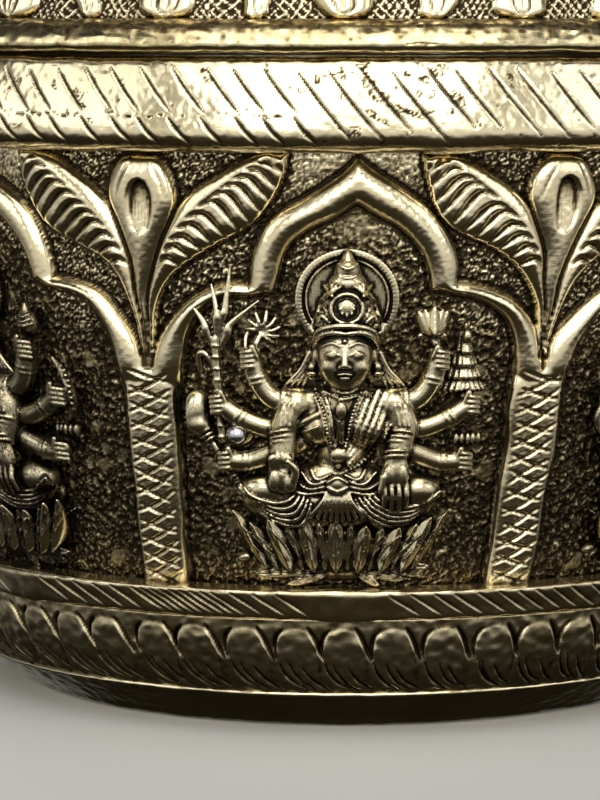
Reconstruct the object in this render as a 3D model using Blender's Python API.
"""Brass kalash pot with eight seated deity plaques, as separate brass and steel pieces.

Metres, +Z up, origin at the centre of the foot on the surface it stands on.
Panel 1 faces -Y; the other seven panels follow every 45 degrees around the axis.
Outlines below are written in millimetres, as (radius, height) or (across, height).
"""

import math

import bmesh
import bpy
from mathutils import Matrix, Vector

MM = 0.001

# Driving dimensions, in millimetres
PANELS = 8
TURN_SEGMENTS = 48
NICHE_DEPTH = 2.8
GAP = 0.3
PLAQUE_GAP = 0.5
RIVET_ACROSS = -22.5
RIVET_HEIGHT = 69.0
RIVET_SHANK_RADIUS = 1.05
RIVET_HOLE_RADIUS = 1.4
RIVET_BALL_RADIUS = 2.2
HEAD_ROOM_RADIUS = 3.0
LUG_RADIUS = 3.4
LUG_STAND = 1.6
PLAQUE_DETAIL = 0.4
# How far round the belly the last figure was set from the middle of its niche
LAST_PLAQUE_TURN = math.radians(-2.6)

# Outer surface of the belly between its bands: (radius, height)
FRAME_CURVE = [(99.2, 36.3), (106.4, 60.0), (111.8, 84.0), (116.4, 109.0), (119.2, 129.0)]
FOOT_CURVE = [
    (77.0, 0.0), (79.0, 1.4), (90.0, 8.5), (97.0, 16.5), (99.2, 26.6), (101.8, 30.2), (101.0, 33.6),
]
ROPE_CURVE = [(125.4, 131.6), (127.8, 140.0), (124.6, 149.3)]
BELLY_INSIDE = [
    (117.4, 149.3), (122.8, 140.0), (113.6, 130.0), (110.6, 109.0), (100.6, 60.0),
    (93.4, 36.0), (95.4, 27.0), (92.4, 16.5), (84.0, 9.6), (71.0, 5.4), (71.0, 2.0),
    (66.0, 2.0), (66.0, 0.0),
]
BASE_PLATE = [(0.0, 2.3), (70.7, 2.3), (70.7, 4.8), (0.0, 4.8)]
ROLL_RING = [
    (121.0, 149.6), (124.6, 149.6), (127.4, 151.9), (125.4, 154.8), (121.0, 155.6),
]
SHOULDER = [
    (117.4, 149.6), (120.7, 149.6), (120.2, 157.0), (118.6, 164.0), (110.4, 177.0),
    (96.8, 185.8), (72.6, 194.2), (66.0, 196.5), (54.0, 196.5), (54.0, 193.8), (70.8, 191.0),
    (95.2, 182.2), (107.6, 174.2), (115.4, 162.6),
]
NECK_BEAD = [
    (53.0, 196.8), (64.8, 196.8), (69.4, 199.9), (64.8, 203.0), (53.0, 203.0),
]
NECK = [
    (52.6, 203.3), (63.4, 203.3), (58.4, 210.0), (57.8, 217.0), (61.6, 224.0),
    (54.4, 224.0), (52.0, 213.6),
]
MOUTH_RIM = [
    (54.6, 224.3), (61.8, 224.3), (69.0, 229.6), (82.6, 233.6), (87.0, 236.8),
    (85.6, 240.0), (74.0, 240.0), (60.6, 233.4),
]

# Half of a niche's outline, from the foot of a pillar up to the point of the arch
NICHE_HALF = [
    (32.2, 36.3), (34.0, 62.0), (35.2, 84.0), (33.4, 90.6), (29.8, 95.6), (25.4, 98.2),
    (20.4, 98.4), (17.0, 100.2), (16.4, 104.2), (14.6, 108.4), (9.6, 113.2), (4.2, 116.2),
    (0.0, 120.2),
]

BRASS = (0.42, 0.34, 0.16, 1.0)
FIGURE_BRASS = (0.36, 0.30, 0.15, 1.0)
RING_BRASS = (0.62, 0.52, 0.26, 1.0)
STEEL = (0.55, 0.56, 0.58, 1.0)

# Name, and for each hand on one side of the body what it holds; the right side follows
FORMS = [
    ("deity_plaque_1_grain", ["flower", "cane", "mace", "palm"], ["flower", "sheaf", "bunch", "palm"]),
    ("deity_plaque_2_valour", ["disc", "bow", "sword", "palm"], ["flower", "spear", "tablet", "palm"]),
    ("deity_plaque_3_victory", ["disc", "noose", "sword", "palm"], ["flower", "shell", "shield", "palm"]),
    ("deity_plaque_4_learning", ["tablet", "palm"], ["flower", "palm"]),
    ("deity_plaque_5_elephants", ["flower", "palm"], ["flower", "palm"]),
    ("deity_plaque_6_children", ["pot", "sword", "palm"], ["pot", "shield", "palm"]),
    ("deity_plaque_7_wealth", ["disc", "bow", "palm"], ["shell", "pot", "palm"]),
    ("deity_plaque_8_lotus", ["banner", "flower", "sword", "palm"], ["shell", "bow", "bunch", "palm"]),
]

# Where a hand lies, as (across, height), from the highest pair down to the lowest
HAND_PLACES = {
    4: [(18.0, 87.5), (24.5, 77.5), (25.0, 65.5), (11.0, 62.0)],
    3: [(18.0, 87.5), (25.0, 72.0), (11.0, 62.0)],
    2: [(19.0, 86.0), (11.0, 62.0)],
}


def clear_scene():
    for thing in list(bpy.data.objects):
        bpy.data.objects.remove(thing, do_unlink=True)


def make_material(name, colour, metallic=1.0, roughness=0.35):
    material = bpy.data.materials.new(name)
    material.use_nodes = True
    shader = material.node_tree.nodes["Principled BSDF"]
    shader.inputs["Base Color"].default_value = colour
    shader.inputs["Metallic"].default_value = metallic
    shader.inputs["Roughness"].default_value = roughness
    return material


def add_object(name, bm, colour=BRASS):
    """Turn a bmesh into an object with its own material."""
    bmesh.ops.recalc_face_normals(bm, faces=bm.faces[:])
    mesh = bpy.data.meshes.new(name)
    bm.to_mesh(mesh)
    bm.free()
    mesh.shade_smooth()
    mesh.set_sharp_from_angle(angle=math.radians(35))
    thing = bpy.data.objects.new(name, mesh)
    bpy.context.scene.collection.objects.link(thing)
    mesh.materials.append(make_material(name, colour))
    return thing


def hide_cutter(cutter):
    cutter.hide_render = True
    cutter.display_type = "WIRE"


def combine(target, other, operation):
    """Join or cut with an exact Boolean; the other object becomes a hidden helper."""
    modifier = target.modifiers.new(operation.lower(), "BOOLEAN")
    modifier.operation = operation
    modifier.solver = "EXACT"
    modifier.object = other
    hide_cutter(other)


def radius_on(curve, height):
    """Radius of a curve of (radius, height) points at one height."""
    for (r0, z0), (r1, z1) in zip(curve, curve[1:]):
        if z0 <= height <= z1:
            return r0 + (r1 - r0) * (height - z0) / (z1 - z0)
    return curve[0][0] if height < curve[0][1] else curve[-1][0]


def turned(outline, segments=TURN_SEGMENTS):
    """A closed outline of (radius, height) turned around Z; radius 0 makes a pole."""
    bm = bmesh.new()
    rings = []
    for radius, height in outline:
        if radius == 0.0:
            rings.append([bm.verts.new((0.0, 0.0, height * MM))])
            continue
        ring = []
        for step in range(segments):
            angle = 2.0 * math.pi * step / segments
            place = (radius * math.cos(angle) * MM, radius * math.sin(angle) * MM, height * MM)
            ring.append(bm.verts.new(place))
        rings.append(ring)
    for index, ring in enumerate(rings):
        following = rings[(index + 1) % len(rings)]
        for step in range(segments):
            corners = [
                ring[step % len(ring)], ring[(step + 1) % segments % len(ring)],
                following[(step + 1) % segments % len(following)], following[step % len(following)],
            ]
            distinct = list(dict.fromkeys(corners))
            if len(distinct) > 2:
                bm.faces.new(distinct)
    return bm


def prism(outline, near, far):
    """An outline of (across, height) made into a block from y = -near to y = -far."""
    bm = bmesh.new()
    front = [bm.verts.new((x * MM, -far * MM, z * MM)) for x, z in outline]
    back = [bm.verts.new((x * MM, -near * MM, z * MM)) for x, z in outline]
    bm.faces.new(front)
    bm.faces.new(back)
    count = len(outline)
    for index in range(count):
        following = (index + 1) % count
        bm.faces.new([front[index], front[following], back[following], back[index]])
    return bm


def ball(centre, size, columns=12, rows=8):
    """An ellipsoid with half sizes size = (across, deep, high)."""
    bm = bmesh.new()
    bmesh.ops.create_uvsphere(bm, u_segments=columns, v_segments=rows, radius=MM)
    matrix = Matrix.Translation(Vector(centre) * MM) @ Matrix.Diagonal((*size, 1.0))
    bmesh.ops.transform(bm, matrix=matrix, verts=bm.verts[:])
    return bm


def rod(start, end, start_radius, end_radius, sides=5):
    """A round tapered rod between two points."""
    bm = bmesh.new()
    first = Vector(start) * MM
    last = Vector(end) * MM
    length = (last - first).length
    bmesh.ops.create_cone(
        bm, cap_ends=True, segments=sides, radius1=start_radius * MM,
        radius2=end_radius * MM, depth=length,
    )
    spin = Vector((0.0, 0.0, 1.0)).rotation_difference(last - first).to_matrix().to_4x4()
    matrix = Matrix.Translation((first + last) / 2.0) @ spin
    bmesh.ops.transform(bm, matrix=matrix, verts=bm.verts[:])
    return bm


def ground_curve(offset=0.0):
    """The niche floor, offset outwards in millimetres."""
    return [(radius - NICHE_DEPTH + offset, height) for radius, height in FRAME_CURVE]


def panel_angle(panel):
    return 2.0 * math.pi * panel / PANELS


def plaque_angle(panel):
    """How far around the axis a figure stands; the last one is off its niche's middle."""
    return panel_angle(panel) + (LAST_PLAQUE_TURN if panel == PANELS - 1 else 0.0)


def turned_by(angle):
    return Matrix.Rotation(angle, 4, "Z")


def niche_outline():
    left = [(-across, height) for across, height in reversed(NICHE_HALF[:-1])]
    return NICHE_HALF + left


def rivet_angle():
    """How far the rivet stands around the axis from the middle of its panel."""
    return math.asin(RIVET_ACROSS / radius_on(ground_curve(), RIVET_HEIGHT))


def rivet_hole(name, angle, near=80.0, far=140.0, radius=RIVET_HOLE_RADIUS):
    """A radial bore at the rivet of the figure that stands at one angle."""
    hole = add_object(name, rod((0.0, -near, 0.0), (0.0, -far, 0.0), radius, radius, sides=8))
    turn = turned_by(angle + rivet_angle())
    hole.matrix_world = Matrix.Translation((0.0, 0.0, RIVET_HEIGHT * MM)) @ turn
    return hole


def make_belly():
    """Cast belly: a thin wall whose thicker arcade frame leaves eight shallow niches."""
    middle = radius_on(FRAME_CURVE, FRAME_CURVE[0][1]) - NICHE_DEPTH
    lower = FOOT_CURVE + [(middle, FRAME_CURVE[0][1])]
    ground = ground_curve()[1:-1] + [(FRAME_CURVE[-1][0] - NICHE_DEPTH, FRAME_CURVE[-1][1])]
    belly = add_object("belly_shell", turned(lower + ground + ROPE_CURVE + BELLY_INSIDE))
    inner = [(radius - NICHE_DEPTH - 0.6, height) for radius, height in reversed(FRAME_CURVE)]
    arcade_outline = FRAME_CURVE + inner
    arcade_outline[0] = (arcade_outline[0][0], 35.6)
    arcade_outline[-1] = (arcade_outline[-1][0], 35.6)
    arcade_outline[len(FRAME_CURVE) - 1] = (119.2, 131.2)
    arcade_outline[len(FRAME_CURVE)] = (115.4, 131.2)
    arcade = add_object("arcade_frame", turned(arcade_outline))
    for panel in range(PANELS):
        niche = add_object(f"niche_{panel + 1}", prism(niche_outline(), 80.0, 140.0))
        niche.matrix_world = turned_by(panel_angle(panel))
        combine(arcade, niche, "DIFFERENCE")
    combine(belly, arcade, "UNION")
    for panel in range(PANELS):
        combine(belly, rivet_hole(f"wall_hole_{panel + 1}", plaque_angle(panel)), "DIFFERENCE")
    return belly


def add_turned_pieces():
    add_object("base_plate", turned(BASE_PLATE))
    add_object("seam_roll_ring", turned(ROLL_RING), RING_BRASS)
    add_object("shoulder_dome", turned(SHOULDER))
    add_object("neck_bead_ring", turned(NECK_BEAD, 48), RING_BRASS)
    add_object("neck_collar", turned(NECK, 48))
    add_object("mouth_rim", turned(MOUTH_RIM), RING_BRASS)


def on_wall(across, height, proud):
    """A place on the front panel, standing proud of the niche floor."""
    radius = radius_on(ground_curve(), height)
    return (across, -(math.sqrt(radius * radius - across * across) + proud), height)


def wall_rod(start, end, start_radius, end_radius, proud=1.4, sides=5):
    """A rod that lies along the niche floor between two (across, height) places."""
    return rod(on_wall(*start, proud), on_wall(*end, proud), start_radius, end_radius, sides)


def wall_ball(place, size, proud=0.6, columns=6, rows=4):
    return ball(on_wall(*place, proud), size, columns, rows)


def wall_disc(place, radius, rise, sides=12):
    """A flat disc that faces outwards from the niche floor."""
    return rod(on_wall(*place, -3.0), on_wall(*place, rise), radius, radius * 0.94, sides)


def attribute(kind, hand, side):
    """What a hand holds, as a short list of solids around the hand's place."""
    x, z = hand
    if kind == "flower":
        return [wall_ball((x, z + 6.0), (4.0, 3.0, 4.4))]
    if kind == "cane":
        return [wall_rod((x, z - 8.0), (x + 0.6 * side, z + 13.0), 1.8, 1.5, 0.6),
                wall_ball((x, z + 11.0), (4.6, 2.6, 4.0))]
    if kind == "sheaf":
        return [wall_rod((x, z), (x - 0.5 * side, z + 13.0), 4.4, 2.0, 0.6, 8)]
    if kind == "mace":
        return [wall_ball((x + 1.5 * side, z + 3.0), (4.4, 3.2, 4.8)),
                wall_rod((x, z), (x - 5.0 * side, z - 7.0), 1.5, 1.3, 0.6)]
    if kind == "bunch":
        return [wall_ball((x, z + 5.0), (3.4, 3.0, 5.2))]
    if kind == "disc":
        return [wall_disc((x, z + 5.0), 5.0, 2.4)]
    if kind == "shell":
        return [wall_rod((x, z + 1.0), (x, z + 8.6), 3.6, 1.6, 0.6, 8)]
    if kind == "pot":
        return [wall_ball((x, z + 4.4), (3.9, 3.2, 3.9))]
    if kind == "bow":
        return [wall_rod((x + 1.0 * side, z - 8.0), (x + 2.6 * side, z), 1.3, 1.6, 0.6),
                wall_rod((x + 2.6 * side, z), (x + 0.6 * side, z + 9.0), 1.6, 1.3, 0.6)]
    if kind in ("sword", "spear"):
        return [wall_rod((x, z - 3.0), (x + 2.2 * side, z + 14.0), 1.8, 1.2, 0.6)]
    if kind == "banner":
        return [wall_rod((x, z - 6.0), (x, z + 10.0), 1.4, 1.4, 0.6),
                wall_ball((x + 2.6 * side, z + 6.6), (3.4, 2.2, 3.6))]
    if kind in ("shield", "tablet"):
        return [wall_disc((x, z + 2.0), 4.6, 2.6, 8)]
    if kind == "noose":
        return [wall_disc((x, z + 5.4), 4.0, 2.2, 10)]
    return []


def arm(side, order, pair_count, kind):
    """Upper arm, forearm and hand, with what the hand holds."""
    across, height = HAND_PLACES[pair_count][order]
    proud = 3.4 if kind == "palm" else 1.4
    hand = (across * side, height)
    shoulder = on_wall(9.6 * side, 76.0, 2.4)
    if kind == "palm":
        elbow = on_wall(16.0 * side, 68.5, proud)
    else:
        elbow = on_wall((across * 0.5 + 9.0) * side, (height + 70.0) / 2.0, proud)
    wrist = on_wall(*hand, proud)
    solids = [
        rod(shoulder, elbow, 3.0, 2.8),
        rod(elbow, wrist, 2.8, 2.1),
        ball(wrist, (3.0, 2.4, 3.2), 6, 4),
    ]
    return solids + attribute(kind, hand, side)


def figure_body():
    """Halo, lotus seat, folded legs, torso, head and crown, about the panel's middle."""
    return [
        wall_disc((0.0, 97.0), 10.6, 2.4, 16),
        wall_ball((0.0, 45.6), (23.0, 7.4, 8.8), 0.0, 10, 6),
        wall_ball((0.0, 56.4), (21.0, 8.2, 5.6), 0.4, 10, 6),
        wall_ball((0.0, 68.6), (8.6, 6.4, 11.6), 0.8, 8, 6),
        wall_ball((0.0, 75.8), (11.6, 5.0, 4.2), 0.8, 8, 6),
        wall_rod((0.0, 74.0), (0.0, 84.0), 3.4, 3.2, 2.6),
        wall_ball((0.0, 86.4), (5.6, 5.2, 6.4), 2.2, 8, 6),
        wall_rod((0.0, 89.6), (0.0, 107.4), 6.6, 1.8, 1.0, 8),
    ]


def elephants():
    """The two small elephants that stand either side of one figure."""
    solids = []
    for side in (-1, 1):
        solids.append(wall_ball((21.0 * side, 79.5), (6.4, 3.8, 4.6), 0.8, 10, 6))
        solids.append(wall_ball((14.6 * side, 83.4), (3.4, 3.4, 3.6), 0.8))
        solids.append(wall_rod((25.0 * side, 80.0), (17.0 * side, 60.0), 3.0, 3.0, 0.4))
    return solids


def lug():
    """The flat ear that the rivet passes through, and its strap to the body."""
    base = radius_on(ground_curve(), RIVET_HEIGHT)
    turn = turned_by(rivet_angle())
    low = turn @ Vector((0.0, -(base - 2.0), RIVET_HEIGHT))
    high = turn @ Vector((0.0, -(base + LUG_STAND), RIVET_HEIGHT))
    strap = wall_rod((RIVET_ACROSS, RIVET_HEIGHT - 1.0), (-8.0, 66.0), 2.2, 2.2, 0.2)
    return [rod(low, high, LUG_RADIUS, LUG_RADIUS, sides=8), strap]


def make_plaque(name, panel, left_hands, right_hands, trim):
    """One cast figure with its back fitted to the niche floor, and a lug for its rivet."""
    solids = figure_body()
    for side, hands in ((-1, left_hands), (1, right_hands)):
        for order, kind in enumerate(hands):
            solids += arm(side, order, len(hands), kind)
    if name.endswith("elephants"):
        solids += elephants()
    solids += lug()

    plaque = add_object(name, solids[0], FIGURE_BRASS)
    for index, solid in enumerate(solids[1:]):
        combine(plaque, add_object(f"{name}_solid_{index + 1}", solid), "UNION")
    combine(plaque, trim, "DIFFERENCE")
    simplify = plaque.modifiers.new("simplify", "DECIMATE")
    simplify.decimate_type = "COLLAPSE"
    simplify.ratio = PLAQUE_DETAIL
    lug_face = radius_on(ground_curve(), RIVET_HEIGHT) + LUG_STAND
    combine(plaque, rivet_hole(f"{name}_hole", 0.0), "DIFFERENCE")
    combine(plaque, rivet_hole(f"{name}_head_room", 0.0, lug_face, 140.0, HEAD_ROOM_RADIUS), "DIFFERENCE")
    turn = turned_by(plaque_angle(panel))
    for step in plaque.modifiers:
        if step.type == "BOOLEAN":
            step.object.matrix_world = turn @ step.object.matrix_world
    plaque.matrix_world = turn


def trim_outline():
    """Outline of the belly's niche floor with the assembly gap, filled in to the axis."""
    curve = [(74.0, 26.0)] + ground_curve(PLAQUE_GAP) + [(74.0, 132.0)]
    return [(0.0, 26.0)] + curve + [(0.0, 132.0)]


def make_plaques():
    for panel, (name, left_hands, right_hands) in enumerate(FORMS):
        trim = add_object(f"niche_floor_{panel + 1}", turned(trim_outline(), TURN_SEGMENTS))
        make_plaque(name, panel, left_hands, right_hands, trim)


def rivet_outline():
    """Outline along the rivet's axis: (radius, distance from the pot's axis)."""
    ground = radius_on(ground_curve(), RIVET_HEIGHT)
    inside = radius_on(list(reversed(BELLY_INSIDE)), RIVET_HEIGHT)
    tail = inside - 0.7
    head = ground + LUG_STAND + GAP
    ball_points = []
    for step in range(1, 6):
        angle = math.radians(-60.0 + 27.0 * step)
        ball_points.append((RIVET_BALL_RADIUS * math.cos(angle),
                            head + RIVET_BALL_RADIUS * (0.86 + math.sin(angle))))
    return [
        (0.0, tail - 1.5), (1.3, tail - 1.2), (2.1, tail - 0.4), (2.1, tail),
        (RIVET_SHANK_RADIUS, tail), (RIVET_SHANK_RADIUS, head), (1.5, head),
        *ball_points, (0.0, head + RIVET_BALL_RADIUS * 1.86),
    ]


def make_rivets():
    """Ball-headed rivets through the lugs, their tails closed inside the belly."""
    lay_down = Matrix.Rotation(math.radians(90.0), 4, "X")
    for panel in range(PANELS):
        bm = turned(rivet_outline(), 8)
        bmesh.ops.transform(bm, matrix=lay_down, verts=bm.verts[:])
        rivet = add_object(f"plaque_rivet_{panel + 1}", bm, STEEL)
        turn = turned_by(plaque_angle(panel) + rivet_angle())
        rivet.matrix_world = Matrix.Translation((0.0, 0.0, RIVET_HEIGHT * MM)) @ turn


def main():
    clear_scene()
    add_turned_pieces()
    make_belly()
    make_plaques()
    make_rivets()


main()
